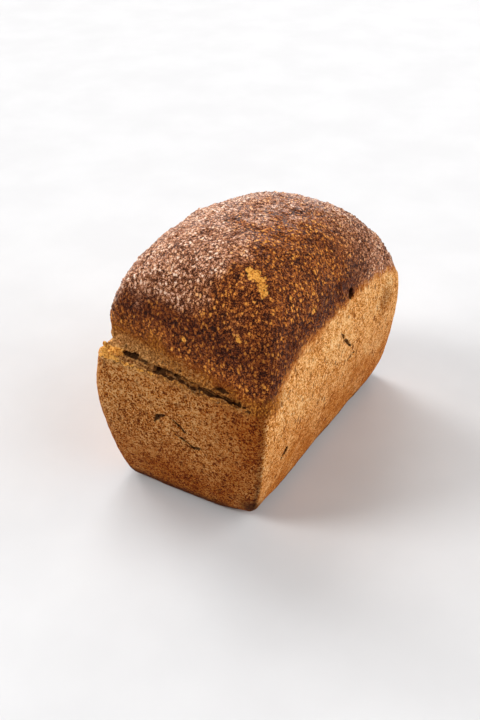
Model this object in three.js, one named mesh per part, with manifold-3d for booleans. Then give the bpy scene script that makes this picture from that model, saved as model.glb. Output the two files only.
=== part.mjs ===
// A whole, uncut spelt loaf baked in a deep tin: tapered and slightly swollen walls, a high domed
// crown, and the ragged tear at one end where the crown burst out of the rim.
// Millimetres. X runs along the loaf with the torn end at -X, Y across it, and Z up from the base.

import * as THREE from 'three';
import { mergeVertices } from 'three/addons/utils/BufferGeometryUtils.js';
import Module from 'manifold-3d';

// Driving dimensions: the loaf at the rim of its tin, and the crown that rose above the rim.
const RIM_LENGTH = 164;
const RIM_WIDTH = 100.8;
const RIM_HEIGHT = 77;
const CROWN_RISE = 58;

// Walls: how much narrower the base is on each side, how far the walls swell, how far they tuck in just
// above the base, and their roundings. The corner between the torn end and the -Y side is sharp.
const TORN_END_TAPER = 5.4;
const FAR_END_TAPER = -1;
const SIDE_TAPER = 11;
const WALL_SWELL = 3.8;
const TUCK = 1.5;
const TUCK_HEIGHT = 16;
const RIM_CORNER_RADIUS = 8;
const BASE_CORNER_RADIUS = 7;
const SHARP_CORNER_RADIUS = 2.5;
const FOOT_RADIUS = 2.5;
const FOOT_RADIUS_SHARP_CORNER = 12;
const FOOT_UNEVENNESS = 0.6;

// Crown: how far it stands back from the rim, how square its plan is, and how steeply it rises.
const STEP_BACK_FAR_END = 6.4;
const STEP_BACK_SIDES = 0.9;
const STEP_BACK_TEAR_LEFT = 10;
const STEP_BACK_TEAR_RIGHT = 3.5;
const STEP_BACK_FLAP_CORNER = 5.5;
const SQUARENESS_TORN_END = 4.1;
const SQUARENESS_FAR_END = 3.4;
const SQUARENESS_SIDES = 2.75;
const EDGE_STEEPNESS = 0.37;
const EDGE_STEEPNESS_FLAP_CORNER = 0.27;
const RISE_TOWARD_TEAR = 0.18;
const LEDGE_SLOPE = 0.5;
const LEDGE_START = 3;

// Tear along the torn end: it drops toward -Y, with a thin lip in front and a flap at the +Y corner.
const TEAR_LEFT = 47;
const TEAR_RIGHT = -43;
const TEAR_DROP = 5;
const TEAR_DROP_REACH = 26;
const LIP_THICKNESS = 2.2;
const LIP_HEIGHT = 2.6;
const LIP_ROOT = 5;
const LIP_INSET = 1.4;
const LIP_LEAN = 0.12;
const LIP_EDGE_THINNING = 0.45;
const LIP_RAGGEDNESS = { size: 4.5, share: 0.55, seed: 3 };
const FLAP_HEIGHT = 7.5;
const FLAP_LENGTH = 14;
const FLAP_PEAK = 42;
const TRENCH_RADIUS = 1.8;
const TRENCH_DEPTH = 4;
const TRENCH_ABOVE_TEAR = 0.6;
const TRENCH_RIGHT_INSET = 1;
const TRENCH_WANDER = { size: 9, height: 0.5, seed: 5 };

// Small hollows: creases across the torn end as Y and Z, slits in the -Y side as X and Z, and a round
// blister hole at the edge of the dark crown.
const END_CREASES = [
  [[12.8, 50.1], [11, 53.7], [6.3, 55.2], [1.5, 53.6], [-3.7, 50], [-6.5, 48.9]],
  [[1.8, 45.5], [-3.7, 43.8], [-9.4, 40.2], [-14.3, 41.6], [-16.5, 38.9]],
];
const CREASE_RADIUS = 1.2;
const SIDE_SLITS = [
  [[0.3, 76.6], [5.1, 69.8], [13, 61.6]],
  [[18.8, 54], [11.4, 53.2]],
  [[-58.3, 38.5], [-61.8, 36.1]],
];
const SLIT_RADIUS = 0.9;
const BLISTER_HOLE = { x: 14.1, z: 93.8, radius: 1.7, depth: 5, slope: 0.1 };
const HOLLOW_LEAST_FULLNESS = 0.14;
const HOLLOW_UNEVENNESS = { size: 5, share: 0.3, seed: 4 };

// Bulges and dips of the crust, each with its centre, reach and height.
const BULGES = [
  { centre: new THREE.Vector3(-6, 32, 128), reach: 17, height: 1.9 },
  { centre: new THREE.Vector3(34, 24, 127), reach: 20, height: -1.4 },
  { centre: new THREE.Vector3(-45, 40, 123), reach: 9, height: -1.4 },
  { centre: new THREE.Vector3(-67, 45, 101), reach: 12, height: 1.4 },
  { centre: new THREE.Vector3(-80, 48, 56), reach: 18, height: 1.2 },
];

// Uneven crust: two sizes of swelling all over, and crags on the crown from a way above the rim. They
// fade out at the tear.
const BROAD_SWELL = { size: 36, height: 1.0, seed: 1 };
const SMALL_SWELL = { size: 13, height: 0.5, seed: 2 };
const CRAGS = { size: 8, height: 0.7, seed: 6 };
const CRAGS_START = 15;
const CALM_AT_TEAR = { near: 7, far: 15 };

// Grid of the skin: steps along, across, up the walls and up the crown.
const STEPS_ALONG = 38;
const STEPS_ACROSS = 26;
const STEPS_UP_WALL = 14;
const STEPS_UP_CROWN = 13;
const LIP_STEPS = 38;
const LIP_ROWS = 3;
const TRENCH_STEPS = 40;
const TRENCH_POINTS = 12;
const HOLLOW_SIDES = 7;
const HOLLOW_STEP = 1.2;

// The crust is found by walking outward from this upright core plate in the middle of the loaf.
const CORE_HALF_LENGTH = (RIM_LENGTH - RIM_WIDTH) / 2;
const ROWS_CLOSER_BELOW = 1.3;
const CLOSER_AT_CORNERS = 0.5;
const BELOW_LEDGE = 0.4;
const CAGE_MARGIN = 1.1;
const TEAR_ROWS_START = 0.3;
const GROUND_GAP = 0.1;
const SEARCH_STEPS = 40;

// A corner of the loaf begins and is full at these sums of a point's shares of both half sizes.
const CORNER_STARTS = 1.5;
const CORNER_FULL = 1.9;

// Edges shorter than this, left by the cuts, are closed up.
const WELD = 0.05;

const { clamp, lerp, smoothstep } = THREE.MathUtils;

// Repeatable pseudo-random number from 0 to 1 for a whole-number grid point.
function hash(i, j, k, seed) {
  const mixed = Math.sin(i * 127.1 + j * 311.7 + k * 74.7 + seed * 53.3) * 43758.5453;
  return mixed - Math.floor(mixed);
}

// Smooth lumps of the given size, from -1 to 1.
function lumps(point, size, seed) {
  const cell = point.clone().divideScalar(size);
  const base = cell.clone().floor();
  const ease = (t) => t * t * (3 - 2 * t);
  const fx = ease(cell.x - base.x);
  const fy = ease(cell.y - base.y);
  const fz = ease(cell.z - base.z);
  const corner = (i, j, k) => hash(base.x + i, base.y + j, base.z + k, seed);
  const edge = (j, k) => lerp(corner(0, j, k), corner(1, j, k), fx);
  const face = (k) => lerp(edge(0, k), edge(1, k), fy);
  return lerp(face(0), face(1), fz) * 2 - 1;
}

function swelling(point, { size, height, seed }) {
  return height * lumps(point, size, seed);
}

// Height of the tear at the torn end: level at its left, dropping toward its right.
function tearHeight(y) {
  return RIM_HEIGHT - TEAR_DROP * smoothstep(-y, -TEAR_LEFT, -TEAR_RIGHT);
}

// Half the loaf's length and width between its walls at a height, toward one of its ends.
function halfSizes(z, torn) {
  const rise = clamp(z / RIM_HEIGHT, 0, 1);
  const swell = WALL_SWELL * 4 * rise * (1 - rise);
  const tuck = TUCK * clamp(1 - z / TUCK_HEIGHT, 0, 1) ** 2;
  const endTaper = torn ? TORN_END_TAPER : FAR_END_TAPER;
  const halfLength = RIM_LENGTH / 2 - endTaper * (1 - rise) + swell - tuck;
  const halfWidth = RIM_WIDTH / 2 - SIDE_TAPER * (1 - rise) + swell - tuck;
  return { rise, halfLength, halfWidth };
}

// Plan distance from a point to the wall at its height, negative inside the loaf.
function wallGap(point) {
  const torn = point.x < 0;
  const { rise, halfLength, halfWidth } = halfSizes(point.z, torn);
  const shares = Math.abs(point.x) / halfLength + Math.abs(point.y) / halfWidth;
  const sharp = torn && point.y < 0;
  const cornerness = sharp ? smoothstep(shares, CORNER_STARTS, CORNER_FULL) : 0;
  const footRadius = lerp(FOOT_RADIUS, FOOT_RADIUS_SHARP_CORNER, cornerness);
  const below = clamp(footRadius - point.z, 0, footRadius);
  const foot = footRadius - Math.sqrt(footRadius * footRadius - below * below);
  const baseRadius = sharp ? SHARP_CORNER_RADIUS : BASE_CORNER_RADIUS;
  const radius = lerp(baseRadius, RIM_CORNER_RADIUS, rise * rise);
  const outX = Math.abs(point.x) - (halfLength - foot - radius);
  const outY = Math.abs(point.y) - (halfWidth - foot - radius);
  const rounded = Math.hypot(Math.max(outX, 0), Math.max(outY, 0));
  return rounded + Math.min(Math.max(outX, outY), 0) - radius;
}

// Height of the crown above a plan point, no lower than the rim.
function crownHeight(point) {
  const torn = point.x < 0;
  const across = smoothstep(point.y, -RIM_WIDTH / 2, RIM_WIDTH / 2);
  const tearStep = lerp(STEP_BACK_TEAR_RIGHT, STEP_BACK_TEAR_LEFT, across);
  const halfLength = RIM_LENGTH / 2 - (torn ? tearStep : STEP_BACK_FAR_END);
  const atTornEnd = smoothstep(-point.x, RIM_LENGTH / 4, RIM_LENGTH / 2);
  const atFlap = atTornEnd * smoothstep(point.y, 0, RIM_WIDTH / 4);
  const halfWidth = RIM_WIDTH / 2 - lerp(STEP_BACK_SIDES, STEP_BACK_FLAP_CORNER, atFlap);
  const endPower = torn ? SQUARENESS_TORN_END : SQUARENESS_FAR_END;
  const endFall = 1 - Math.min(Math.abs(point.x) / halfLength, 1) ** endPower;
  const sideFall = 1 - Math.min(Math.abs(point.y) / halfWidth, 1) ** SQUARENESS_SIDES;
  const rise = CROWN_RISE * (1 - RISE_TOWARD_TEAR * point.x / (RIM_LENGTH / 2));
  const nearTear = smoothstep(-point.x, RIM_LENGTH / 2 - TEAR_DROP_REACH, RIM_LENGTH / 2);
  const ledge = LEDGE_SLOPE * clamp(point.x + RIM_LENGTH / 2 - LEDGE_START, 0, tearStep);
  const rim = lerp(RIM_HEIGHT, tearHeight(point.y) + (torn ? ledge : 0), nearTear);
  const steepness = lerp(EDGE_STEEPNESS, EDGE_STEEPNESS_FLAP_CORNER, atFlap);
  return rim + rise * (endFall * sideFall) ** steepness;
}

function isBread(point) {
  return point.z > 0 && wallGap(point) < 0 && point.z < crownHeight(point);
}

// Last point inside the loaf on the way from one point to another.
function lastInside(from, to) {
  let inside = 0;
  let outside = 1;
  const probe = new THREE.Vector3();
  for (let step = 0; step < SEARCH_STEPS; step += 1) {
    const middle = (inside + outside) / 2;
    probe.lerpVectors(from, to, middle);
    if (isBread(probe)) inside = middle;
    else outside = middle;
  }
  return probe.lerpVectors(from, to, inside);
}

// How little a point has to do with the tear: 0 along it, 1 away from it.
function awayFromTear(point) {
  const above = Math.abs(point.z - tearHeight(point.y));
  const up = smoothstep(above, CALM_AT_TEAR.near, CALM_AT_TEAR.far);
  const back = smoothstep(point.x, -RIM_LENGTH / 2 + STEP_BACK_TEAR_LEFT, 0);
  return Math.max(up, back);
}

// Height of the bulges and dips at a point.
function bulge(point) {
  let height = 0;
  for (const spot of BULGES) {
    const away = point.distanceTo(spot.centre) / spot.reach;
    height += spot.height * Math.exp(-away * away);
  }
  return height;
}

// How far the uneven crust stands out from the plain form at a point.
function unevenness(point) {
  const swells = swelling(point, BROAD_SWELL) + swelling(point, SMALL_SWELL);
  const crags = swelling(point, CRAGS) * smoothstep(point.z, RIM_HEIGHT, RIM_HEIGHT + CRAGS_START);
  const aboveFoot = lerp(FOOT_UNEVENNESS, 1, smoothstep(point.z, FOOT_RADIUS / 2, FOOT_RADIUS * 2));
  return (swells + crags) * aboveFoot * awayFromTear(point) + bulge(point);
}

// Point of the crust that a cage point stands over.
function crustPoint(cage) {
  const core = new THREE.Vector3(
    clamp(cage.x, -CORE_HALF_LENGTH, CORE_HALF_LENGTH),
    0,
    Math.min(cage.z, RIM_HEIGHT),
  );
  const point = lastInside(core, cage);
  const outward = cage.clone().sub(core).normalize();
  return point.addScaledVector(outward, unevenness(point));
}

// Point of the flat base: rings of its outline, which is the wall's foot just above the ground.
function basePoint(unit) {
  const ring = 2 * Math.max(Math.abs(unit.x), Math.abs(unit.y));
  if (ring === 0) return new THREE.Vector3();
  const edge = cagePoint(new THREE.Vector3(unit.x / ring, unit.y / ring, -0.5));
  edge.z = GROUND_GAP;
  return crustPoint(edge).multiplyScalar(ring).setZ(0);
}

// Spreads steps from -0.5 to 0.5 over -1 to 1, closer together toward both ends.
function towardCorners(step) {
  return lerp(2 * step, Math.sin(Math.PI * step), CLOSER_AT_CORNERS);
}

// Cage around the loaf: a box whose rows stand at the heights of the walls, the rim and the crown, and
// whose upright edges stand over the corners between the walls.
function cagePoint(unit) {
  const wallTop = STEPS_UP_WALL / (STEPS_UP_WALL + STEPS_UP_CROWN);
  const level = unit.z + 0.5;
  const inWall = level <= wallTop + 1e-6;
  const crownTop = RIM_HEIGHT + CROWN_RISE * CAGE_MARGIN * (1 + RISE_TOWARD_TEAR);
  let z = inWall
    ? RIM_HEIGHT * (level / wallTop) ** ROWS_CLOSER_BELOW
    : lerp(RIM_HEIGHT, crownTop, (level - wallTop) / (1 - wallTop));
  const { halfLength, halfWidth } = halfSizes(z, unit.x < 0);
  const reach = CORE_HALF_LENGTH + (halfLength - CORE_HALF_LENGTH) * CAGE_MARGIN;
  const x = towardCorners(unit.x) * reach;
  const y = towardCorners(unit.y) * halfWidth * CAGE_MARGIN;
  const nearRim = 1 - clamp(Math.abs(z - RIM_HEIGHT) / TEAR_DROP_REACH, 0, 1);
  const nearTear = smoothstep(-unit.x, TEAR_ROWS_START, 0.5);
  const towardWall = (RIM_LENGTH / 2 - CORE_HALF_LENGTH) / (Math.abs(x) - CORE_HALF_LENGTH);
  const drop = nearTear > 0 ? RIM_HEIGHT - tearHeight(y * towardWall) : 0;
  z -= (drop * nearTear + BELOW_LEDGE) * nearRim;
  return new THREE.Vector3(x, y, z);
}

// Moves every vertex of a geometry and leaves one shared vertex at each place.
function reshape(geometry, move) {
  geometry.deleteAttribute('normal');
  geometry.deleteAttribute('uv');
  const merged = mergeVertices(geometry);
  const position = merged.getAttribute('position');
  const vertex = new THREE.Vector3();
  for (let i = 0; i < position.count; i += 1) {
    vertex.fromBufferAttribute(position, i);
    position.setXYZ(i, ...move(vertex.clone()).toArray());
  }
  return merged;
}

function loafSkin() {
  const box = new THREE.BoxGeometry(
    1, 1, 1, STEPS_ALONG, STEPS_ACROSS, STEPS_UP_WALL + STEPS_UP_CROWN,
  );
  return reshape(box, (unit) => (unit.z === -0.5 ? basePoint(unit) : crustPoint(cagePoint(unit))));
}

// Point of the crust at the torn end, or on the -Y side, that is seen from outside at a place.
function onTornEnd(y, z) {
  const point = lastInside(new THREE.Vector3(0, y, z), new THREE.Vector3(-RIM_LENGTH, y, z));
  return point.setX(point.x - unevenness(point));
}

function onSide(x, z) {
  const point = lastInside(new THREE.Vector3(x, 0, z), new THREE.Vector3(x, -RIM_WIDTH, z));
  return point.setY(point.y - unevenness(point));
}

// Lip of torn crust standing along the tear, thinner and ragged at its top, tallest at the flap.
function tornLip() {
  const length = TEAR_LEFT - TEAR_RIGHT;
  const strip = new THREE.BoxGeometry(1, length, 1, 1, LIP_STEPS, LIP_ROWS);
  const { size, share, seed } = LIP_RAGGEDNESS;
  return reshape(strip, (unit) => {
    const y = unit.y + (TEAR_LEFT + TEAR_RIGHT) / 2;
    const up = unit.z + 0.5;
    const flap = 1 - smoothstep(Math.abs(y - FLAP_PEAK), 1, FLAP_LENGTH / 2);
    const fade = smoothstep(y, TEAR_RIGHT, TEAR_RIGHT + FLAP_LENGTH);
    const ragged = 1 + share * lumps(new THREE.Vector3(0, y, 0), size, seed);
    const height = (LIP_HEIGHT * fade + FLAP_HEIGHT * flap) * ragged;
    const root = onTornEnd(y, tearHeight(y) - LIP_ROOT);
    const thickness = LIP_THICKNESS * lerp(1, LIP_EDGE_THINNING, up);
    const rise = up * (LIP_ROOT + height);
    const inward = LIP_INSET + (unit.x + 0.5) * thickness - LIP_LEAN * rise;
    return new THREE.Vector3(root.x + inward, y, root.z + rise);
  });
}

// Tapered hollow along a curve, to be cut from the crust: thickest in the middle, closed at both ends.
function hollow(points, radius, steps) {
  const curve = new THREE.CatmullRomCurve3(points);
  const worm = new THREE.CylinderGeometry(1, 1, 1, HOLLOW_SIDES, steps);
  const upward = new THREE.Vector3(0, 0, 1);
  const side = new THREE.Vector3();
  const other = new THREE.Vector3();
  const { size, share, seed } = HOLLOW_UNEVENNESS;
  return reshape(worm, (unit) => {
    const along = clamp(0.5 - unit.y, 0, 1);
    const centre = curve.getPointAt(along);
    const ahead = curve.getTangentAt(along);
    side.crossVectors(ahead, upward).normalize();
    other.crossVectors(ahead, side).normalize();
    const fullness = Math.max(Math.sqrt(Math.sin(Math.PI * along)), HOLLOW_LEAST_FULLNESS);
    const thick = radius * fullness * (1 + share * lumps(centre, size, seed));
    return centre.addScaledVector(side, unit.x * thick).addScaledVector(other, unit.z * thick);
  });
}

// Trench behind the lip, where the crown tore away from the end wall.
function tearTrench() {
  const points = [];
  for (let i = 0; i <= TRENCH_POINTS; i += 1) {
    const y = lerp(TEAR_LEFT - FLAP_LENGTH / 2, TEAR_RIGHT + TRENCH_RIGHT_INSET, i / TRENCH_POINTS);
    const edge = onTornEnd(y, tearHeight(y) - LIP_ROOT);
    const back = TRENCH_DEPTH + swelling(edge, TRENCH_WANDER);
    points.push(new THREE.Vector3(edge.x + back, y, tearHeight(y) + TRENCH_ABOVE_TEAR));
  }
  return hollow(points, TRENCH_RADIUS, TRENCH_STEPS);
}

// Hollow through points of the crust, in steps short enough for its bends.
function crustHollow(points, radius) {
  const run = points[0].distanceTo(points.at(-1));
  return hollow(points, radius, Math.ceil(run / (radius * HOLLOW_STEP)));
}

function endCrease(places) {
  return crustHollow(places.map(([y, z]) => onTornEnd(y, z)), CREASE_RADIUS);
}

function sideSlit(places) {
  return crustHollow(places.map(([x, z]) => onSide(x, z)), SLIT_RADIUS);
}

function blisterHole() {
  const { x, z, radius, depth, slope } = BLISTER_HOLE;
  const mouth = onSide(x, z);
  const inward = new THREE.Vector3(0, depth, depth * slope);
  const inner = mouth.clone().add(inward);
  const outer = mouth.clone().addScaledVector(inward, -0.5);
  return crustHollow([outer, inner], radius);
}

const wasm = await Module();
wasm.setup();

function solid(geometry) {
  return new wasm.Manifold(new wasm.Mesh({
    numProp: 3,
    vertProperties: new Float32Array(geometry.getAttribute('position').array),
    triVerts: new Uint32Array(geometry.getIndex().array),
  }));
}

// Largest body of a solid, so that a crumb cut loose is dropped.
function largestBody(body) {
  const bodies = body.decompose();
  return bodies.reduce((best, next) => (next.volume() > best.volume() ? next : best));
}

function loafGeometry() {
  const hollows = [
    tearTrench(),
    blisterHole(),
    ...END_CREASES.map(endCrease),
    ...SIDE_SLITS.map(sideSlit),
  ];
  let body = solid(loafSkin());
  for (const cut of hollows) body = body.subtract(solid(cut));
  body = body.add(solid(tornLip()));
  const mesh = largestBody(body).simplify(WELD).getMesh();
  const geometry = new THREE.BufferGeometry();
  geometry.setAttribute('position', new THREE.BufferAttribute(mesh.vertProperties, 3));
  geometry.setIndex(new THREE.BufferAttribute(mesh.triVerts, 1));
  geometry.computeBoundingBox();
  const centre = geometry.boundingBox.getCenter(new THREE.Vector3());
  geometry.translate(-centre.x, -centre.y, -geometry.boundingBox.min.z);
  geometry.computeVertexNormals();
  return geometry;
}

const crust = new THREE.MeshStandardMaterial({
  name: 'crust',
  color: 0x8a5a30,
  roughness: 0.75,
  metalness: 0,
});

const loaf = new THREE.Mesh(loafGeometry(), crust);
loaf.name = 'loaf';

const bread = new THREE.Group();
bread.add(loaf);

export default bread;
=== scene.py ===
import itertools
import math

import bpy
import numpy as np
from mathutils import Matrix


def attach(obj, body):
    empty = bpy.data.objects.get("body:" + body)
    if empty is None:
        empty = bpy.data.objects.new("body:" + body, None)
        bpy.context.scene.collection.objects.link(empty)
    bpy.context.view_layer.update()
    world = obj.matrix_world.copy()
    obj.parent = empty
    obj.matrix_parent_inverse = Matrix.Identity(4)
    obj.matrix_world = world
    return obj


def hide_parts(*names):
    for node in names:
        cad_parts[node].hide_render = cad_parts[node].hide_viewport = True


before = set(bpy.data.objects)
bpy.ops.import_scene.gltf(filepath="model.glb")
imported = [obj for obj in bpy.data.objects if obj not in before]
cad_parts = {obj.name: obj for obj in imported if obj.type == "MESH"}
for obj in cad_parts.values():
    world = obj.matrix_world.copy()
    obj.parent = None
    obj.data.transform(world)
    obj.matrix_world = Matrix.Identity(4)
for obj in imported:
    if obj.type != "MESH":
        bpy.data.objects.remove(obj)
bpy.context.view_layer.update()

import openvdb as vdb
from mathutils import Vector

# Lengths below are millimetres in the loaf's own frame, unless a name says otherwise.
MM = 0.001

# Camera: where it looks from and at, and its lens on a film 36 mm high.
VIEW_AZIMUTH = -59.935
VIEW_ELEVATION = 33.312
VIEW_DISTANCE = 559.9
VIEW_TARGET = (-8.86, 6.70, 45.45)
LENS = 50
FILM_HEIGHT = 36

# Light of the room: its even glow, and brighter parts by azimuth, elevation, the cosines at which they
# begin and are full, and their added radiance.
ROOM_GLOW = 0.18
ROOM_LIGHT = [
    (110, 12, 0.965, 0.99, 8.0),
    (158, 24, 0.965, 0.99, 11.0),
    (217, 31, 0.960, 0.99, 13.0),
    (135, 50, 0.955, 0.99, 5.5),
    (20, 28, 0.70, 0.95, 2.2),
]

# Fine skin of the loaf: grid step, half width of the grid's band in steps, blur of the plain crust and of
# sharp hollows and lips, how far the plain blur must move the crust for the sharp one to be kept, the much
# softer hull that tells sunk from proud places, and the most triangles.
VOXEL = 0.65
BAND_VOXELS = 12
CRUST_BLUR = 1.4
SHARP_BLUR = 0.4
KEEP_FROM = 0.25
KEEP_FULL = 0.6
HULL_BLUR = 2.4
MOST_TRIANGLES = 195000

# Tear across the torn end: where it begins and ends, its height at the left and its drop to the right, how
# far its ragged zone reaches down and in, and the height of the torn band at the two ends.
TEAR_LEFT_Y = 48.5
TEAR_RIGHT_Y = -41.5
TEAR_LEFT_Z = 77.0
TEAR_DROP = 5.0
TEAR_REACH_DOWN = 1.6
TEAR_REACH_IN = 18.0
BAND_LEFT = 12.0
BAND_RIGHT = 4.0

# Ragged grain of the tear, the depth of crust that it reaches, and that of the edges of carved lines.
TEAR_GRAIN_HEIGHT = 0.65
TEAR_GRAIN_SIZE = 2.8
TEAR_GRAIN_REACH = 4.0
LINE_GRAIN_HEIGHT = 0.6
LINE_GRAIN_SIZE = 3.0

# Hollows in the tear: place of the mouth, half length along Y, half height, and how far it is sunk along the
# direction given first.
POCKET_SINK = (0.6, 0.0, -0.5)
TEAR_POCKETS = [
    ((-76.3, 31.0, 79.2), 4.2, 1.3, 0.6),
    ((-78.3, 24.5, 78.4), 2.6, 0.8, 0.6),
    ((-78.3, 18.0, 78.0), 2.4, 0.8, 0.6),
    ((-78.2, 12.5, 77.0), 2.8, 1.3, 0.6),
    ((-78.6, 3.0, 77.0), 4.5, 1.1, 0.7),
    ((-80.2, -9.5, 76.0), 5.5, 1.0, 0.7),
    ((-77.2, 1.7, 79.2), 1.2, 0.8, 0.5),
    ((-77.5, -4.3, 79.0), 1.2, 0.8, 0.5),
    ((-79.6, -23.6, 77.2), 5.0, 1.9, -0.1),
    ((-81.2, -32.5, 75.4), 2.4, 1.3, 0.5),
    ((-82.3, -37.2, 73.9), 2.6, 1.2, 0.5),
]

# Open line of the tear: its places and its half width there.
TEAR_LINE = [
    ((-76.6, 34.0, 79.4), 0.9),
    ((-77.4, 26.5, 79.0), 0.9),
    ((-78.4, 15.0, 78.0), 0.7),
    ((-78.8, 5.0, 77.6), 1.2),
    ((-80.3, -11.8, 76.0), 1.2),
    ((-80.9, -22.8, 75.3), 1.0),
    ((-81.6, -34.2, 74.5), 1.2),
    ((-82.6, -41.0, 73.4), 0.6),
]

# Creases in the torn end as Y, Z and half width, and slits and a hole in the -Y side as X, Z and half width.
END_CREASES = [
    [(12.9, 49.4, 0.7), (11.2, 53.0, 1.1), (6.2, 55.2, 0.6),
     (1.4, 53.6, 0.5), (-3.8, 50.0, 0.6), (-6.6, 48.9, 0.2)],
    [(1.7, 45.5, 0.2), (-3.8, 43.8, 0.6), (-9.5, 40.2, 0.7), (-14.4, 41.6, 0.5), (-16.6, 38.9, 0.2)],
]
SIDE_SLITS = [
    [(-0.7, 76.6, 0.4), (4.1, 69.8, 0.6), (12.0, 61.6, 0.4)],
    [(17.8, 54.0, 0.9), (10.4, 53.2, 1.0)],
    [(-59.3, 38.5, 1.8), (-62.8, 36.1, 1.6)],
    [(13.1, 93.8, 3.4), (13.6, 92.6, 3.1)],
]

# Edge of the dark crown: along the long sides it peaks near the middle and falls to both ends, on the torn
# end it slopes. Last come how far it wanders, and how soft it is on the sides and more so at the torn end.
BORDER_PEAK_X = 12.0
BORDER_PEAK_Z = 92.3
BORDER_TORN_FALL = 22.0
BORDER_TORN_REACH = 95.0
BORDER_TORN_POWER = 5.0
BORDER_FAR_FALL = 8.5
BORDER_FAR_REACH = 58.0
BORDER_END_Z = 86.0
BORDER_END_SLOPE = 0.19
BORDER_END_FROM = 66.0
BORDER_END_FULL = 76.0
BORDER_WANDER = 2.6
BORDER_SOFT = 5.0
BORDER_TORN_SOFT = 4.0

# Where the colours of the torn end begin and are full, along -X, and how far its golden crust reaches above
# the tear at the right and how much farther at the left.
TORN_END_FROM = 58.0
TORN_END_FULL = 74.0
GOLD_REACH = 9.0
GOLD_REACH_LEFT = 12.0

# Golden chip in the crown, as a line of places with its half width there, and paler spots with their
# radius.
CHIP = [
    ((-54.6, -25.7, 131.7), 1.3),
    ((-55.0, -28.6, 130.6), 2.0),
    ((-55.9, -31.3, 129.1), 2.1),
    ((-57.4, -33.4, 127.3), 1.5),
    ((-58.8, -35.0, 125.2), 0.8),
    ((-60.0, -36.2, 123.5), 0.4),
]
PALE_SPOTS = [
    ((-32.1, -48.4, 104.8), 2.0),
    ((-74.6, -30.3, 106.1), 1.8),
    ((-75.7, -0.4, 97.3), 1.8),
]

# Cracks in the crown as lines with one half width, and pores of the walls with their radius.
CRACK_HALF_WIDTH = 0.7
CRACKS = [
    [(-1.3, 3.4, 135.2), (7.8, 1.9, 133.7)],
    [(12.3, -5.8, 133.1), (14.3, -16.5, 131.9)],
    [(-26.0, 5.9, 138.0), (-20.3, 3.0, 137.5)],
    [(-49.4, 23.4, 133.3), (-47.2, 20.1, 134.8)],
]
PORES = [
    ((8.4, -49.8, 81.5), 1.1),
    ((-68.6, -49.8, 80.0), 1.1),
    ((-59.7, -50.6, 74.4), 1.0),
    ((-23.4, -50.4, 50.0), 1.1),
    ((-4.5, -50.9, 59.4), 0.9),
    ((-14.0, -51.0, 65.5), 0.9),
    ((-33.2, -50.0, 78.0), 0.9),
    ((-83.7, -5.7, 70.6), 1.3),
    ((-84.1, -0.5, 64.1), 1.1),
]

# Paler, glossy patch of the crown, a painted sheen on partly paler crust: the direction that it faces, and
# the side away from which it fades, which is the direction toward the camera.
SHEEN_FACING = (-0.26, 0.66, 0.70)
SHEEN_CAMERA_SIDE = (-0.72, -0.42, 0.55)

# Dark place at the foot of the near corner, burnt crust with painted shade, and brown blotch on the -Y side,
# each with its radius.
FOOT_BURN_AND_SHADE = ((-81.0, -41.8, 12.0), 5.5)
BROWN_BLOTCH = ((57.0, -51.0, 70.0), 8.0)

# Fine relief: heights of the crown's bumps, beads, swells and flakes, depths of its cracks and chip, height
# of the walls' unevenness and depth of their pits, height of the torn crumb's grain, the mean of folded
# noise, and the height of the finest bumps, which only the shading has.
BUMP_HEIGHT = 0.75
BEAD_HEIGHT = 0.7
SWELL_HEIGHT = 0.25
FLAKE_HEIGHT = 0.5
CRACK_DEPTH = 0.7
CHIP_DEPTH = 0.6
WALL_HEIGHT = 0.16
PIT_DEPTH = 0.5
CRUMB_HEIGHT = 0.4
MEAN_FOLD = 0.25
BUMP_MAP_HEIGHT = 0.45

# Single colours of the crust and tints that darken parts of it, several of them painted shade, and the
# floor's two shades, half width and drop below the loaf.
PORE_BROWN = (0.20, 0.045, 0.006)
BURNT_AND_SHADED = (0.050, 0.014, 0.005)
HOLLOW_SHADE_COLOUR = (0.035, 0.011, 0.003)
END_WALL_SHADE = (0.54, 0.385, 0.22)
TOAST_TINT = (0.66, 0.445, 0.215)
CROWN_EDGE_AND_SHADE_TINT = (0.40, 0.30, 0.25)
FRINGE_TINT = (0.62, 0.44, 0.30)
FLOOR_SHADE = (0.70, 0.695, 0.70)
FLOOR_LIGHT = (0.73, 0.725, 0.73)
FLOOR_HALF_WIDTH = 4000.0
FLOOR_DROP = 0.2

# Factors that scatter the numbers behind the noise: for the three axes, for the seed, and for mixing.
HASH_AXES = (73856093, 19349663, 83492791)
HASH_SEED = 2654435761
HASH_MIX = (0x2C1B3C6D, 0x297A2D39)


def smoothstep(low, high, value):
    t = np.clip((value - low) / (high - low), 0.0, 1.0)
    return t * t * (3.0 - 2.0 * t)


def bell(value, middle, half_width):
    return np.exp(-((value - middle) / half_width) ** 2)


def hashed(cells, seed):
    """Three repeatable numbers from -1 to 1 for each whole-number cell."""
    c = cells.astype(np.uint32)
    x, y, z = (c[..., axis] * np.uint32(factor) for axis, factor in enumerate(HASH_AXES))
    h = x ^ y ^ z ^ np.uint32((seed * HASH_SEED) % 2**32)
    parts = []
    for _ in range(3):
        h = (h ^ (h >> np.uint32(15))) * np.uint32(HASH_MIX[0])
        h = (h ^ (h >> np.uint32(12))) * np.uint32(HASH_MIX[1])
        h = h ^ (h >> np.uint32(15))
        parts.append(h.astype(np.float32) / np.float32(2**31) - np.float32(1.0))
    return np.stack(parts, -1)


def noise(points, size, seed):
    """Smooth lumps of the given size, about -1 to 1."""
    p = np.asarray(points, np.float32) / np.asarray(size, np.float32)
    cell = np.floor(p).astype(np.int64)
    f = p - cell
    ease = f * f * f * (f * (f * 6.0 - 15.0) + 10.0)
    total = np.zeros(p.shape[:-1], np.float32)
    for corner in itertools.product((0, 1), repeat=3):
        offset = np.array(corner, np.int64)
        slope = hashed(cell + offset, seed)
        weight = np.where(offset == 1, ease, 1.0 - ease).prod(-1)
        total += weight * ((f - offset) * slope).sum(-1)
    return total * 1.7


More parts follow.
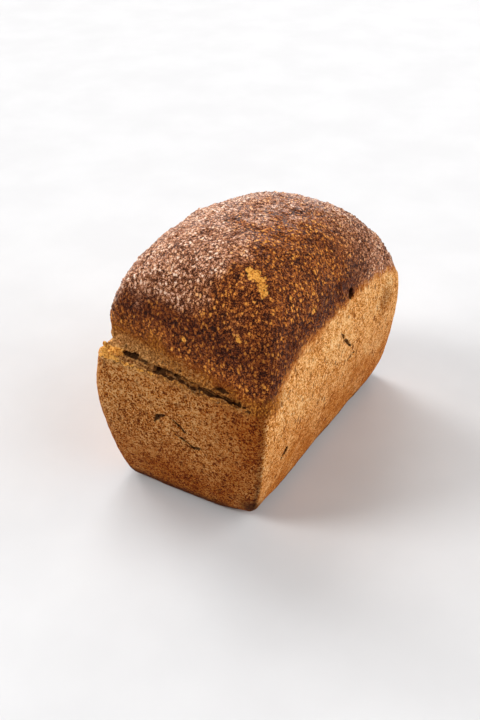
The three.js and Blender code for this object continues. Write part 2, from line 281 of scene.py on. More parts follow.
def layered(points, size, octaves, seed):
    """Noise of several sizes, each half the size and a little over half the height of the last."""
    total, height = 0.0, 1.0
    for octave in range(octaves):
        total = total + height * noise(points, np.asarray(size) / 2**octave, seed + octave)
        height *= 0.55
    return total


def blur(field, sigma):
    """Gaussian blur of a grid, sigma in grid steps."""
    reach = int(math.ceil(3 * sigma))
    taps = np.exp(-0.5 * (np.arange(-reach, reach + 1) / sigma) ** 2)
    taps /= taps.sum()
    for axis in range(3):
        pad = [(reach, reach) if a == axis else (0, 0) for a in range(3)]
        wide = np.pad(field, pad, mode="edge")
        size = field.shape[axis]
        total = np.zeros_like(field)
        for i, tap in enumerate(taps):
            part = [slice(i, i + size) if a == axis else slice(None) for a in range(3)]
            total += wide[tuple(part)] * np.float32(tap)
        field = total
    return field


def tear_height(y):
    return TEAR_LEFT_Z - TEAR_DROP * smoothstep(-TEAR_LEFT_Y, -TEAR_RIGHT_Y, -y)


def band_height(y):
    """Height of the band of stretched crumb above the tear, tallest at the left."""
    toward_left = np.clip((y - TEAR_RIGHT_Y) / (TEAR_LEFT_Y - TEAR_RIGHT_Y), 0, 1)
    return BAND_RIGHT + (BAND_LEFT - BAND_RIGHT) * toward_left


def tear_zone(x, y, z, torn_end_x):
    """1 along the tear and its band of torn crumb, 0 away from it."""
    up = z - tear_height(y)
    band = band_height(y)
    level = smoothstep(-TEAR_REACH_DOWN, -TEAR_REACH_DOWN / 4, up)
    level = level * (1.0 - smoothstep(band * 0.5, band * 1.3, up))
    depth = 1.0 - smoothstep(TEAR_REACH_IN * 0.7, TEAR_REACH_IN, x - torn_end_x)
    right = smoothstep(TEAR_RIGHT_Y - 4.0, TEAR_RIGHT_Y + 3.0, y)
    return level * depth * right


def node_triangles(node):
    """Corner points in millimetres and triangles of a CAD node."""
    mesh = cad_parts[node].data
    mesh.calc_loop_triangles()
    points = np.zeros(len(mesh.vertices) * 3, np.float32)
    mesh.vertices.foreach_get("co", points)
    triangles = np.zeros(len(mesh.loop_triangles) * 3, np.int32)
    mesh.loop_triangles.foreach_get("vertices", triangles)
    return points.reshape(-1, 3) / MM, triangles.reshape(-1, 3).astype(np.uint32)


def crust_lines(field, first):
    """Tear line, creases, slits and hole as points on the grid's crust, each with its half widths."""
    lines = [tuple(zip(*TEAR_LINE))]
    for axis, group in ((0, END_CREASES), (1, SIDE_SLITS)):
        for line in group:
            places = []
            for across, z, half_width in line:
                column = round(across / VOXEL) - first[1 - axis]
                row = round(z / VOXEL) - first[2]
                depths = field[:, column, row] if axis == 0 else field[column, :, row]
                depth = (np.argmax(depths < 0) + first[axis]) * VOXEL
                places.append((depth, across, z) if axis == 0 else (across, depth, z))
            lines.append((places, [half_width for across, z, half_width in line]))
    return lines


def grid_part(field, first, low, high):
    """Slices of the grid between two places, and the place of every step in them."""
    begin = np.maximum(np.floor(low / VOXEL).astype(int) - first, 0)
    end = np.minimum(np.ceil(high / VOXEL).astype(int) - first + 1, field.shape)
    axes = [(np.arange(a, b) + f) * VOXEL for a, b, f in zip(begin, end, first)]
    part = tuple(slice(a, b) for a, b in zip(begin, end))
    return part, np.stack(np.meshgrid(*axes, indexing="ij"), -1)


def carve_lines(field, first, lines):
    """Cuts the tear line, creases, slits and hole out of the grid."""
    for places, half_widths in lines:
        reach = 3.0 * max(half_widths)
        part, place_of = grid_part(field, first, np.min(places, 0) - reach, np.max(places, 0) + reach)
        gap = ragged_gap(place_of.reshape(-1, 3), places, half_widths)
        field[part] = np.maximum(field[part], -gap.reshape(place_of.shape[:-1]))


def carve_pockets(field, first):
    """Cuts the uneven hollows of the tear out of the grid."""
    for place, half_length, half_height, sunk in TEAR_POCKETS:
        centre = np.array(place) + np.array(POCKET_SINK) * sunk * half_height
        radii = np.array([half_height * 1.3, half_length, half_height])
        part, place_of = grid_part(field, first, centre - radii * 1.8, centre + radii * 1.8)
        reach = np.linalg.norm((place_of - centre) / radii, axis=-1) + 0.55 * layered(place_of, 2.2, 3, 61)
        field[part] = np.maximum(field[part], (1.0 - reach) * half_height)


def sampled(field, first, points):
    """Values of a grid at points between its steps."""
    place = points / VOXEL - first
    cell = np.floor(place).astype(int)
    f = place - cell
    total = 0.0
    for corner in itertools.product((0, 1), repeat=3):
        weight = np.where(np.array(corner) == 1, f, 1.0 - f).prod(-1)
        total = total + weight * field[tuple((cell + np.array(corner)).T)]
    return total


def loaf_skin():
    """Fine closed skin around the CAD loaf: points, quads, how far each point is sunk below a soft hull, and
    the lines carved into it."""
    points, triangles = node_triangles("loaf")
    transform = vdb.createLinearTransform(voxelSize=VOXEL)
    solid = vdb.FloatGrid.createLevelSetFromPolygons(
        points=points, triangles=triangles, transform=transform, halfWidth=BAND_VOXELS)
    margin = BAND_VOXELS + 2
    first = np.floor(points.min(0) / VOXEL).astype(int) - margin
    last = np.ceil(points.max(0) / VOXEL).astype(int) + margin
    field = np.zeros(last - first + 1, np.float32)
    solid.copyToArray(field, ijk=tuple(int(i) for i in first))
    axes = [(np.arange(n) + f) * np.float32(VOXEL) for n, f in zip(field.shape, first)]
    x, y, z = np.meshgrid(*axes, indexing="ij", sparse=True)
    zone = tear_zone(x, y, z, points[:, 0].min()).astype(np.float32)
    plain = blur(field, CRUST_BLUR / VOXEL)
    fine = blur(field, SHARP_BLUR / VOXEL)
    hull = blur(plain, HULL_BLUR / VOXEL)
    sharp = np.maximum(zone, smoothstep(KEEP_FROM, KEEP_FULL, np.abs(field - plain)))
    field = plain + sharp * (fine - plain)
    spots = np.argwhere((zone > 0.02) & (np.abs(field) < TEAR_GRAIN_REACH))
    place = (spots + first) * np.float32(VOXEL)
    ragged = TEAR_GRAIN_HEIGHT * layered(place, TEAR_GRAIN_SIZE, 2, 31)
    field[tuple(spots.T)] += ragged * zone[tuple(spots.T)]
    carve_pockets(field, first)
    lines = crust_lines(field, first)
    carve_lines(field, first, lines)
    skin = vdb.FloatGrid(background=BAND_VOXELS * VOXEL)
    skin.transform = transform
    skin.copyFromArray(field, ijk=tuple(int(i) for i in first), tolerance=0.0)
    points, quads = skin.convertToQuads(isovalue=0.0)
    points, quads = largest_body(points, quads.astype(np.int64))
    return points, quads, -sampled(hull, first, points), lines


def largest_body(points, quads):
    """Keeps the one body with the most points, so that no loose crumb or sealed bubble stays."""
    label = np.arange(len(points))
    pairs = np.concatenate([quads[:, [i, (i + 1) % 4]] for i in range(4)])
    while True:
        low = np.minimum(label[pairs[:, 0]], label[pairs[:, 1]])
        new = label.copy()
        np.minimum.at(new, pairs[:, 0], low)
        np.minimum.at(new, pairs[:, 1], low)
        new = new[new]
        if np.array_equal(new, label):
            break
        label = new
    keep = label == np.bincount(label).argmax()
    index = np.cumsum(keep) - 1
    return points[keep], index[quads[keep[quads[:, 0]]]]


def point_normals(points, quads):
    corner = points[quads]
    face = np.cross(corner[:, 2] - corner[:, 0], corner[:, 3] - corner[:, 1])
    normal = np.zeros_like(points)
    for i in range(4):
        np.add.at(normal, quads[:, i], face)
    return normal / np.maximum(np.linalg.norm(normal, axis=1, keepdims=True), 1e-9)


def crown_border(p):
    """Height at which the dark crown begins above each point."""
    away = p[:, 0] - BORDER_PEAK_X
    torn = BORDER_TORN_FALL * (np.clip(-away, 0, None) / BORDER_TORN_REACH) ** BORDER_TORN_POWER
    far = BORDER_FAR_FALL * (np.clip(away, 0, None) / BORDER_FAR_REACH) ** 2
    side = BORDER_PEAK_Z - torn - far
    end = BORDER_END_Z + BORDER_END_SLOPE * p[:, 1]
    at_end = smoothstep(BORDER_END_FROM, BORDER_END_FULL, -p[:, 0])
    return side + at_end * (end - side)


def gap_to_line(p, places, half_widths):
    """Distance from every point to the edge of a line that has a half width at each of its places."""
    best = np.full(len(p), np.inf)
    for i in range(len(places) - 1):
        a, b = np.array(places[i]), np.array(places[i + 1])
        along = np.clip(((p - a) @ (b - a)) / ((b - a) @ (b - a)), 0, 1)
        half_width = half_widths[i] + along * (half_widths[i + 1] - half_widths[i])
        best = np.minimum(best, np.linalg.norm(p - a - along[:, None] * (b - a), axis=1) - half_width)
    return best


def ragged_gap(p, places, half_widths):
    """Distance from every point to the ragged edge of a carved line."""
    return gap_to_line(p, places, half_widths) + LINE_GRAIN_HEIGHT * layered(p, LINE_GRAIN_SIZE, 2, 63)


def spot(p, place, radius):
    return bell(np.linalg.norm(p - np.array(place), axis=1), 0.0, radius)


def tear_masks(p, sunk, lines, crown, fray, wander):
    """Torn crumb, golden crust above it, lip with its flap, and painted shade in every hollow."""
    at_torn_end = smoothstep(TORN_END_FROM, TORN_END_FULL, -p[:, 0])
    torn = tear_zone(p[:, 0], p[:, 1], p[:, 2], p[:, 0].min())
    up = p[:, 2] - tear_height(p[:, 1])
    left = smoothstep(-12.0, 32.0, p[:, 1])
    crumb = torn * (0.15 + 0.85 * smoothstep(0.0, 42.0, p[:, 1]))
    height = (up + 5.0 * wander) / (GOLD_REACH + GOLD_REACH_LEFT * left)
    gold = at_torn_end * smoothstep(-1.0, 2.0, up) * (1.0 - smoothstep(0.3, 1.2, height))
    lip = smoothstep(0.8, 1.4, -sunk + 0.9 * fray) * at_torn_end * bell(up, 1.0, 1.6) * left
    flap = smoothstep(74.5, 76.5, -p[:, 0]) * smoothstep(31.0, 37.0, p[:, 1]) * smoothstep(0.5, 2.5, up)
    # Painted shade: darkens sunk places of the tear and walls, and every carved line.
    hollow_shade = smoothstep(0.5, 1.7, sunk) * np.maximum(torn, 1.0 - crown)
    for places, half_widths in lines:
        hollow_shade = np.maximum(hollow_shade, 1.0 - smoothstep(-0.4, 0.5, ragged_gap(p, places, half_widths)))
    return {"crumb": crumb, "gold": gold, "lip": np.maximum(lip, flap), "hollow_shade": hollow_shade}


def pale_mask(p, fray):
    """Golden chip and paler spots of the crown."""
    chip_places, chip_half_widths = zip(*CHIP)
    gap = gap_to_line(p, chip_places, chip_half_widths) - 0.5 + 2.2 * noise(p, 1.9, 73)
    pale = 1.0 - smoothstep(-0.2, 0.6, gap)
    for place, radius in PALE_SPOTS:
        pale = np.maximum(pale, 0.8 * smoothstep(0.4, 0.7, spot(p, place, radius) + 0.3 * fray))
    return pale


def burn_and_shade_mask(p, n, fray):
    """Darkened foot and wall corners, burnt crust with painted shade, and a brown blotch; the base itself
    stays as brown as the walls.
    """
    foot = 1.0 - smoothstep(4.5, 8.5 + 2.0 * fray, p[:, 2])
    foot = foot * (1.0 - 0.85 * smoothstep(0.75, 0.97, -n[:, 2]))
    corner = smoothstep(0.25, 0.55, np.minimum(np.abs(n[:, 0]), np.abs(n[:, 1])))
    near_corner = smoothstep(0.0, 0.3, -n[:, 0]) * smoothstep(0.0, 0.3, -n[:, 1])
    on_wall = 1.0 - smoothstep(60.0, 78.0, p[:, 2])
    low = 1.0 - 0.8 * smoothstep(12.0, 50.0, p[:, 2])
    corner = corner * on_wall * (0.4 + 0.6 * near_corner) * low * (0.9 + 0.5 * fray)
    burns = (0.95 * foot, 1.4 * spot(p, *FOOT_BURN_AND_SHADE), corner, 0.5 * spot(p, *BROWN_BLOTCH))
    return np.clip(np.maximum.reduce(burns), 0, 1)


def sheen_and_pale_bake_mask(p, n, wander):
    """Painted sheen over the top of the crown and down the torn end's slope, and paler crust toward the far
    end, all kept to surfaces turned toward the camera.
    """
    top = smoothstep(0.48, 0.88, n @ np.array(SHEEN_FACING) + 0.16 * wander)
    top = top * smoothstep(94.0, 112.0, p[:, 2] + 4.0 * wander)
    far = 0.65 * smoothstep(0.0, 60.0, p[:, 0] + 6.0 * wander)
    slope = smoothstep(-14.0, 8.0, p[:, 1] + 5.0 * wander) * smoothstep(45.0, 60.0, -p[:, 0])
    slope = 0.8 * slope * smoothstep(109.0, 118.0, p[:, 2] + 3.0 * wander)
    facing = smoothstep(-0.15, 0.25, n @ np.array(SHEEN_CAMERA_SIDE) + 0.1 * wander)
    return np.maximum.reduce((top, far, slope)) * facing


def crust_masks(p, n, sunk, lines):
    """Kinds and shades of crust at every point, each from 0 to 1."""
    fray = layered(p, 3.2, 2, 71)
    wander = layered(p, 13.0, 3, 51)
    at_end = smoothstep(0.4, 0.8, np.abs(n[:, 0]))
    at_torn_end = smoothstep(TORN_END_FROM, TORN_END_FULL, -p[:, 0])
    above = p[:, 2] - crown_border(p) + BORDER_WANDER * wander
    soft = BORDER_SOFT + BORDER_TORN_SOFT * smoothstep(20.0, 70.0, -p[:, 0])
    crown = smoothstep(-soft, soft, above)
    side_band = bell(above, 7.0, 9.0) * (1.0 - at_end) * (1.0 - smoothstep(15.0, 50.0, p[:, 0]))
    low = 1.0 - smoothstep(6.0, 78.0 - 26.0 * at_end, p[:, 2])
    right = smoothstep(4.0, 42.0, -p[:, 1]) * at_end
    return {
        "crown": crown,
        **tear_masks(p, sunk, lines, crown, fray, wander),
        "pale": pale_mask(p, fray),
        "burn_and_shade": burn_and_shade_mask(p, n, fray),
        "toast": np.clip(np.maximum(low, right) * (1.0 + 0.5 * wander), 0, 1),
        # Darker crust just above the crown's edge on the long sides, and painted shade on the torn end's
        # upper face.
        "edge_band_and_front_shade": np.maximum(side_band, at_torn_end * bell(above, 19.0, 11.0)),
        "sheen_and_pale_bake": sheen_and_pale_bake_mask(p, n, wander),
        "strip": bell(above, -9.0, 9.0) * (1.0 - at_end),
        "end_wall": at_end,
    }


def crust_relief(p, mask):
    """Height of the crust's fine relief at every point, and the small pits of the walls."""
    crown = mask["crown"]
    bent = p + 1.4 * np.stack([noise(p, 6.0, seed) for seed in (81, 82, 83)], -1)
    bumps = np.abs(noise(bent, (2.9, 2.9, 2.3), 11)) - MEAN_FOLD
    beads = np.abs(noise(bent, 1.8, 12)) - MEAN_FOLD
    swell = noise(p, 8.0, 22)
    flaky = smoothstep(0.05, 0.45, noise(p, 16.0, 92))
    flake = smoothstep(-0.06, 0.06, noise(bent, 10.0, 91)) * flaky
    crown_relief = BUMP_HEIGHT * bumps + BEAD_HEIGHT * beads + SWELL_HEIGHT * swell + FLAKE_HEIGHT * flake
    pebble = noise(p, 1.5, 21)
    for crack in CRACKS:
        gap = gap_to_line(p, crack, [CRACK_HALF_WIDTH] * len(crack)) + 0.5 * pebble
        crown_relief -= CRACK_DEPTH * (1.0 - smoothstep(-0.2, 0.5, gap))
    pit = smoothstep(0.62, 0.85, noise(p, (2.0, 2.0, 3.0), 43))
    for place, radius in PORES:
        pit = np.maximum(pit, smoothstep(0.3, 0.7, spot(p, place, radius)))
    wall_relief = WALL_HEIGHT * layered(p, 5.0, 3, 41) - PIT_DEPTH * pit
    above_foot = smoothstep(0.3, 3.0, p[:, 2])
    relief = (crown * crown_relief + (1.0 - crown) * wall_relief) * above_foot
    relief = relief - CHIP_DEPTH * mask["pale"] * crown
    relief = relief + CRUMB_HEIGHT * mask["crumb"] * layered(p, 2.0, 2, 95)
    return relief, pit * (1.0 - crown)


def loaf_mesh():
    points, quads, sunk, lines = loaf_skin()
    normals = point_normals(points, quads)
    volume = np.einsum("ij,ij->", points, normals)
    if volume < 0:
        quads = quads[:, ::-1]
        normals = -normals
    mask = crust_masks(points, normals, sunk, lines)
    relief, pit = crust_relief(points, mask)
    points = points + normals * relief[:, None]
    points[:, 2] = np.maximum(points[:, 2], 0.0)
    mask["relief"] = relief
    mask["pit"] = pit
    mesh = bpy.data.meshes.new("crust")
    mesh.vertices.add(len(points))
    mesh.vertices.foreach_set("co", (points * MM).astype(np.float32).ravel())
    mesh.loops.add(quads.size)
    mesh.loops.foreach_set("vertex_index", quads.astype(np.int32).ravel())
    mesh.polygons.add(len(quads))
    mesh.polygons.foreach_set("loop_start", np.arange(0, quads.size, 4, dtype=np.int32))
    for name, value in mask.items():
        layer = mesh.attributes.new(name, "FLOAT", "POINT")
        layer.data.foreach_set("value", value.astype(np.float32))
    mesh.update(calc_edges=True)
    mesh.validate()
    return mesh


def build_loaf():
    piece = bpy.data.objects.new("loaf_crust", loaf_mesh())
    bpy.context.scene.collection.objects.link(piece)
    shrink = piece.modifiers.new("fewer_faces", "DECIMATE")
    shrink.ratio = min(1.0, MOST_TRIANGLES / (2 * len(piece.data.polygons)))
    shrink.use_collapse_triangulate = True
    bpy.context.view_layer.update()
    done = piece.evaluated_get(bpy.context.evaluated_depsgraph_get())
    final = bpy.data.meshes.new_from_object(done)
    piece.modifiers.clear()
    piece.data = final
    final.name = "loaf_crust"
    final.polygons.foreach_set("use_smooth", np.ones(len(final.polygons), bool))
    return piece


class Graph:
    """Short calls for making the nodes of one material."""

    def __init__(self, name):
        self.material = bpy.data.materials.new(name)
        self.material.use_nodes = True
        self.tree = self.material.node_tree
        self.shader = self.tree.nodes["Principled BSDF"]
        self.place = self.scaled(self.add("ShaderNodeTexCoord").outputs["Object"], (1 / MM,) * 3)

    def add(self, kind, **settings):
        node = self.tree.nodes.new(kind)
        for key, value in settings.items():
            setattr(node, key, value)
        return node

    def link(self, source, socket):
        if hasattr(source, "is_linked"):
            self.tree.links.new(source, socket)
        else:
            socket.default_value = source

    def scaled(self, vector, factors):
        node = self.add("ShaderNodeVectorMath", operation="MULTIPLY")
        self.link(vector, node.inputs[0])
        node.inputs[1].default_value = factors
        return node.outputs[0]

    def mask(self, name):
        return self.add("ShaderNodeAttribute", attribute_name=name).outputs["Fac"]

    def noise(self, size, detail=2.0, roughness=0.5, stretch=(1, 1, 1), distortion=0.0):
        node = self.add("ShaderNodeTexNoise")
        self.link(self.scaled(self.place, tuple(1 / (size * s) for s in stretch)), node.inputs["Vector"])
        node.inputs["Scale"].default_value = 1.0
        node.inputs["Detail"].default_value = detail
        node.inputs["Roughness"].default_value = roughness
        node.inputs["Distortion"].default_value = distortion
        return node.outputs["Fac"]

    def cells(self, size, stretch=(1, 1, 1), warp=0.0):
        """Distance to the nearest of scattered points, and a random number for that point."""
        place = self.scaled(self.place, tuple(1 / (size * s) for s in stretch))
        wobble = self.add("ShaderNodeTexNoise")
        self.link(place, wobble.inputs["Vector"])
        wobble.inputs["Scale"].default_value = 1.5
        wobble.inputs["Detail"].default_value = 1.0
        bent = self.add("ShaderNodeVectorMath", operation="MULTIPLY_ADD")
        self.link(wobble.outputs["Color"], bent.inputs[0])
        bent.inputs[1].default_value = (warp,) * 3
        self.link(place, bent.inputs[2])
        node = self.add("ShaderNodeTexVoronoi")
        self.link(bent.outputs[0], node.inputs["Vector"])
        node.inputs["Scale"].default_value = 1.0
        split = self.add("ShaderNodeSeparateColor")
        self.link(node.outputs["Color"], split.inputs[0])
        return node.outputs["Distance"], split.outputs[0]

    def math(self, operation, a, b=0.0, c=0.0):
        node = self.add("ShaderNodeMath", operation=operation)
        for source, socket in zip((a, b, c), node.inputs):
            self.link(source, socket)
        return node.outputs[0]

    def sum(self, *terms):
        """Sum of values, each with its weight."""
        total = 0.0
        for value, weight in terms:
            total = self.math("MULTIPLY_ADD", value, weight, total)
        return total

    def swing(self, value):
        """Value that goes from 0 to 1, made to swing about 0."""
        return self.math("SUBTRACT", value, 0.5)

    def span(self, value, low, high, to_low=0.0, to_high=1.0):
        node = self.add("ShaderNodeMapRange", interpolation_type="SMOOTHSTEP")
        for source, socket in zip((value, low, high, to_low, to_high), node.inputs):
            self.link(source, socket)
        return node.outputs[0]

    def mix(self, share, a, b, blend="MIX"):
        node = self.add("ShaderNodeMix", data_type="RGBA", blend_type=blend)
        self.link(share, node.inputs["Factor"])
        for source, socket in ((a, node.inputs[6]), (b, node.inputs[7])):
            self.link((*source, 1.0) if isinstance(source, tuple) else source, socket)
        return node.outputs[2]

    def blend(self, share, a, b):
        node = self.add("ShaderNodeMix", data_type="FLOAT")
        for source, socket in ((share, node.inputs[0]), (a, node.inputs[2]), (b, node.inputs[3])):
            self.link(source, socket)
        return node.outputs[0]

    def ramp(self, value, stops):
        node = self.add("ShaderNodeValToRGB")
        self.link(value, node.inputs[0])
        while len(node.color_ramp.elements) < len(stops):
            node.color_ramp.elements.new(0.5)
        for element, (place, colour) in zip(node.color_ramp.elements, stops):
            element.position = place
            element.color = (*colour, 1.0)
        return node.outputs[0]


def wall_crust(g):
    """Tan tin crust: light strands, brown gaps, light and orange streaks below the crown, slanting pores."""
    end_wall, pit, toast, strip = g.mask("end_wall"), g.mask("pit"), g.mask("toast"), g.mask("strip")
    strand = g.math("ABSOLUTE", g.swing(g.noise(1.3, 2.0, 0.5, (1, 1.9, 1), 0.8)))
    fine = g.swing(g.noise(0.9, 2.0, 0.6))
    speck = g.swing(g.noise(2.6, 3.0, 0.65))
    clump = g.swing(g.noise(6.0, 3.0, 0.6))
    broad = g.swing(g.noise(18.0, 2.0))
    streak = g.swing(g.noise(1.3, 2.0, 0.5, (1, 1, 3.0), 0.5))
    grain = g.sum((fine, 1.5), (strand, -1.9), (speck, 0.6), (0.17, 1.0))
    grain = g.math("MULTIPLY", grain, g.blend(end_wall, 1.25, 2.0))
    streaks = g.math("MULTIPLY", streak, strip)
    base = g.blend(end_wall, 0.55, 0.47)
    level = g.sum((grain, 1.0), (clump, 0.55), (broad, 0.4), (streaks, 0.65), (base, 1.0))
    colour = g.ramp(level, [
        (0.08, (0.18, 0.044, 0.006)),
        (0.32, (0.42, 0.120, 0.014)),
        (0.52, (0.74, 0.280, 0.050)),
        (0.72, (0.95, 0.500, 0.170)),
        (0.90, (1.00, 0.680, 0.340)),
    ])
    near, chance = g.cells(3.2, (1, 1, 2.0), 0.6)
    pore = g.math("MULTIPLY", g.span(near, 0.34, 0.20), g.span(chance, 0.74, 0.78))
    pore = g.math("MULTIPLY", pore, g.blend(end_wall, 0.8, 0.45))
    pore = g.math("MAXIMUM", pore, g.math("MULTIPLY", pit, 0.7))
    colour = g.mix(pore, colour, PORE_BROWN)
    # Painted shade: both end walls made darker than the long sides.
    colour = g.mix(g.math("MULTIPLY", end_wall, 0.75), colour, END_WALL_SHADE, "MULTIPLY")
    colour = g.mix(toast, colour, TOAST_TINT, "MULTIPLY")
    height = g.sum((level, 0.8), (pore, -0.9))
    return colour, height


def crown_crust(g):
    """Dark baked crown: crumpled red-brown skin, dark gaps and gold bran flecks, and a painted sheen of
    pinkish highlights on its paler patch.
    """
    relief, sheen_and_pale_bake, edge_band_and_front_shade = g.mask("relief"), g.mask("sheen_and_pale_bake"), g.mask("edge_band_and_front_shade")
    near, chance = g.cells(1.6, (1, 1, 1.4), 0.8)
    fold = g.math("ABSOLUTE", g.swing(g.noise(0.95, 2.0, 0.5, distortion=0.6)))
    fine = g.swing(g.noise(0.55, 2.0, 0.6))
    middle = g.swing(g.noise(1.8, 2.0, 0.6))
    patch = g.swing(g.noise(10.0, 3.0))
    dome = g.span(near, 0.62, 0.14)
    fleck = g.math("MULTIPLY", dome, g.math("POWER", chance, 3.0))
    # The relief term paints a little shade into the relief's hollows and a little light onto its bumps.
    tone = g.sum(
        (dome, 0.24), (fleck, 0.66), (fold, 1.9), (fine, 1.0),
        (middle, 0.45), (patch, 0.25), (relief, 0.08), (0.192, 1.0))
    dark = g.ramp(tone, [
        (0.24, (0.020, 0.004, 0.001)),
        (0.37, (0.140, 0.030, 0.006)),
        (0.52, (0.385, 0.096, 0.018)),
        (0.74, (0.690, 0.230, 0.036)),
        (0.96, (0.960, 0.430, 0.070)),
    ])
    # Painted sheen: paler crust with pinkish painted highlights, for the crown's glossy patch.
    sheen_paint = g.ramp(tone, [
        (0.22, (0.050, 0.012, 0.004)),
        (0.35, (0.300, 0.085, 0.028)),
        (0.47, (0.680, 0.280, 0.130)),
        (0.61, (0.950, 0.580, 0.380)),
        (0.78, (1.000, 0.840, 0.700)),
    ])
    broken = g.span(g.noise(2.2, 2.0, 0.6), 0.36, 0.58, 0.35, 1.15)
    colour = g.mix(g.math("MULTIPLY", sheen_and_pale_bake, broken), dark, sheen_paint)
    # Darkens the crown above its edge: darker crust on the sides, painted shade on the torn end's upper
    # face.
    colour = g.mix(g.math("MULTIPLY", edge_band_and_front_shade, 0.85), colour, CROWN_EDGE_AND_SHADE_TINT, "MULTIPLY")
    height = g.sum((fold, 1.6), (fine, 0.5), (middle, 0.9), (dome, 0.5))
    return colour, height


def crust_material():
    g = Graph("baked_crust")
    crown, crumb, gold, lip, hollow_shade, pale, burn_and_shade = (
        g.mask(name) for name in ("crown", "crumb", "gold", "lip", "hollow_shade", "pale", "burn_and_shade"))
    edge = g.sum((crown, 1.0), (g.swing(g.noise(1.8, 3.0, 0.65)), 1.6))
    crown = g.span(edge, 0.30, 0.80)
    fringe = g.span(edge, 0.0, 0.40)
    wall, wall_height = wall_crust(g)
    dark, crown_height = crown_crust(g)
    grain = g.noise(1.0, 3.0, 0.6)
    crumb_colour = g.ramp(grain, [
        (0.34, (0.10, 0.030, 0.005)),
        (0.48, (0.52, 0.225, 0.060)),
        (0.66, (0.96, 0.58, 0.230)),
    ])
    gold_colour = g.ramp(grain, [
        (0.36, (0.030, 0.007, 0.001)),
        (0.50, (0.24, 0.066, 0.008)),
        (0.66, (0.86, 0.34, 0.040)),
    ])
    chip_colour = g.ramp(grain, [
        (0.36, (0.44, 0.125, 0.014)),
        (0.50, (0.94, 0.390, 0.055)),
        (0.64, (1.00, 0.560, 0.120)),
    ])
    ragged = g.swing(grain)
    hollow_shade = g.span(g.sum((hollow_shade, 1.0), (ragged, 1.2)), 0.32, 0.62)
    pale = g.span(g.sum((pale, 1.0), (ragged, 1.0)), 0.35, 0.65)
    lip = g.span(g.sum((lip, 1.0), (ragged, 1.4)), 0.35, 0.70)
    wall = g.mix(fringe, wall, FRINGE_TINT, "MULTIPLY")
    colour = g.mix(crown, wall, dark)
    colour = g.mix(g.math("MULTIPLY", gold, 0.7), colour, gold_colour)
    colour = g.mix(g.math("MULTIPLY", crumb, 0.9), colour, crumb_colour)
    colour = g.mix(g.math("MULTIPLY", lip, 0.75), colour, chip_colour)
    colour = g.mix(pale, colour, chip_colour)
    # Burnt crust with painted shade along the foot and the corners of the walls.
    colour = g.mix(g.math("MULTIPLY", burn_and_shade, 0.85), colour, BURNT_AND_SHADED)
    # Painted shade in the hollows of the tear, the carved lines and sunk places.
    colour = g.mix(g.math("MULTIPLY", hollow_shade, 0.9), colour, HOLLOW_SHADE_COLOUR)
    g.link(colour, g.shader.inputs["Base Color"])
    g.link(g.blend(crown, 0.9, g.blend(g.mask("sheen_and_pale_bake"), 0.5, 0.28)), g.shader.inputs["Roughness"])
    g.shader.inputs["Specular IOR Level"].default_value = 0.09

    bump = g.add("ShaderNodeBump")
    bump.inputs["Strength"].default_value = 1.0
    bump.inputs["Distance"].default_value = BUMP_MAP_HEIGHT * MM
    g.link(g.blend(crown, wall_height, crown_height), bump.inputs["Height"])
    g.link(bump.outputs[0], g.shader.inputs["Normal"])
    return g.material


def floor_material():
    g = Graph("pale_floor")
    shade = g.noise(60.0, 3.0)
    colour = g.mix(g.span(shade, 0.3, 0.7), FLOOR_SHADE, FLOOR_LIGHT)
    g.link(colour, g.shader.inputs["Base Color"])
    g.shader.inputs["Roughness"].default_value = 0.8
    g.shader.inputs["Specular IOR Level"].default_value = 0.1
    return g.material


def build_floor():
    half = FLOOR_HALF_WIDTH * MM
    outline = [(-half, -half, 0), (half, -half, 0), (half, half, 0), (-half, half, 0)]
    mesh = bpy.data.meshes.new("floor")
    mesh.from_pydata(outline, [], [(0, 1, 2, 3)])
    floor = bpy.data.objects.new("floor", mesh)
    floor.location.z = -FLOOR_DROP * MM
    bpy.context.scene.collection.objects.link(floor)
    mesh.materials.append(floor_material())
    return floor


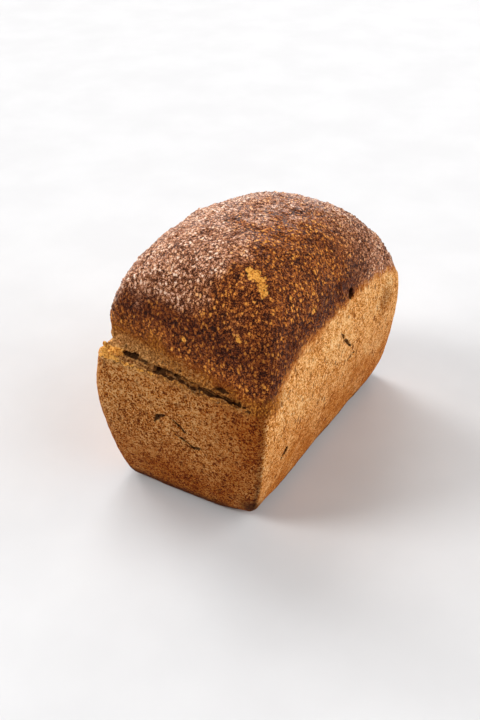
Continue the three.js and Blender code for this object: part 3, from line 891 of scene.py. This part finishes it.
def direction(azimuth, elevation):
    """Unit vector toward a place seen at that azimuth and elevation; azimuth 0 is -Y."""
    a, e = math.radians(azimuth), math.radians(elevation)
    return Vector((math.sin(a) * math.cos(e), -math.cos(a) * math.cos(e), math.sin(e)))


def aim(thing, target):
    thing.rotation_euler = (target - thing.location).to_track_quat("-Z", "Y").to_euler()


def build_camera():
    camera = bpy.data.objects.new("camera", bpy.data.cameras.new("camera"))
    camera.data.sensor_fit = "VERTICAL"
    camera.data.sensor_height = FILM_HEIGHT
    camera.data.lens = LENS
    target = Vector(VIEW_TARGET) * MM
    camera.location = target + direction(VIEW_AZIMUTH, VIEW_ELEVATION) * VIEW_DISTANCE * MM
    aim(camera, target)
    bpy.context.scene.collection.objects.link(camera)
    bpy.context.scene.camera = camera


def build_studio():
    """Pale floor in a soft room, bright at its window side and dimmer toward the other sides."""
    build_floor()
    world = bpy.data.worlds.new("studio")
    world.use_nodes = True
    tree = world.node_tree
    toward = tree.nodes.new("ShaderNodeTexCoord").outputs["Generated"]
    total = None
    for azimuth, elevation, edge, full, radiance in ROOM_LIGHT:
        facing = tree.nodes.new("ShaderNodeVectorMath")
        facing.operation = "DOT_PRODUCT"
        facing.inputs[1].default_value = direction(azimuth, elevation)
        tree.links.new(toward, facing.inputs[0])
        glow = tree.nodes.new("ShaderNodeMapRange")
        glow.interpolation_type = "SMOOTHSTEP"
        for socket, value in zip(glow.inputs[1:5], (edge, full, 0.0, radiance)):
            socket.default_value = value
        tree.links.new(facing.outputs["Value"], glow.inputs[0])
        both = tree.nodes.new("ShaderNodeMath")
        both.inputs[1].default_value = ROOM_GLOW
        tree.links.new(glow.outputs[0], both.inputs[0])
        if total:
            tree.links.new(total, both.inputs[1])
        total = both.outputs[0]
    backdrop = tree.nodes["Background"]
    backdrop.inputs["Color"].default_value = (1, 1, 1, 1)
    tree.links.new(total, backdrop.inputs["Strength"])
    bpy.context.scene.world = world
    bpy.context.scene.view_settings.view_transform = "Standard"


build_camera()
build_studio()
loaf = build_loaf()
loaf.data.materials.clear()
loaf.data.materials.append(crust_material())
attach(loaf, "root")
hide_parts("loaf")
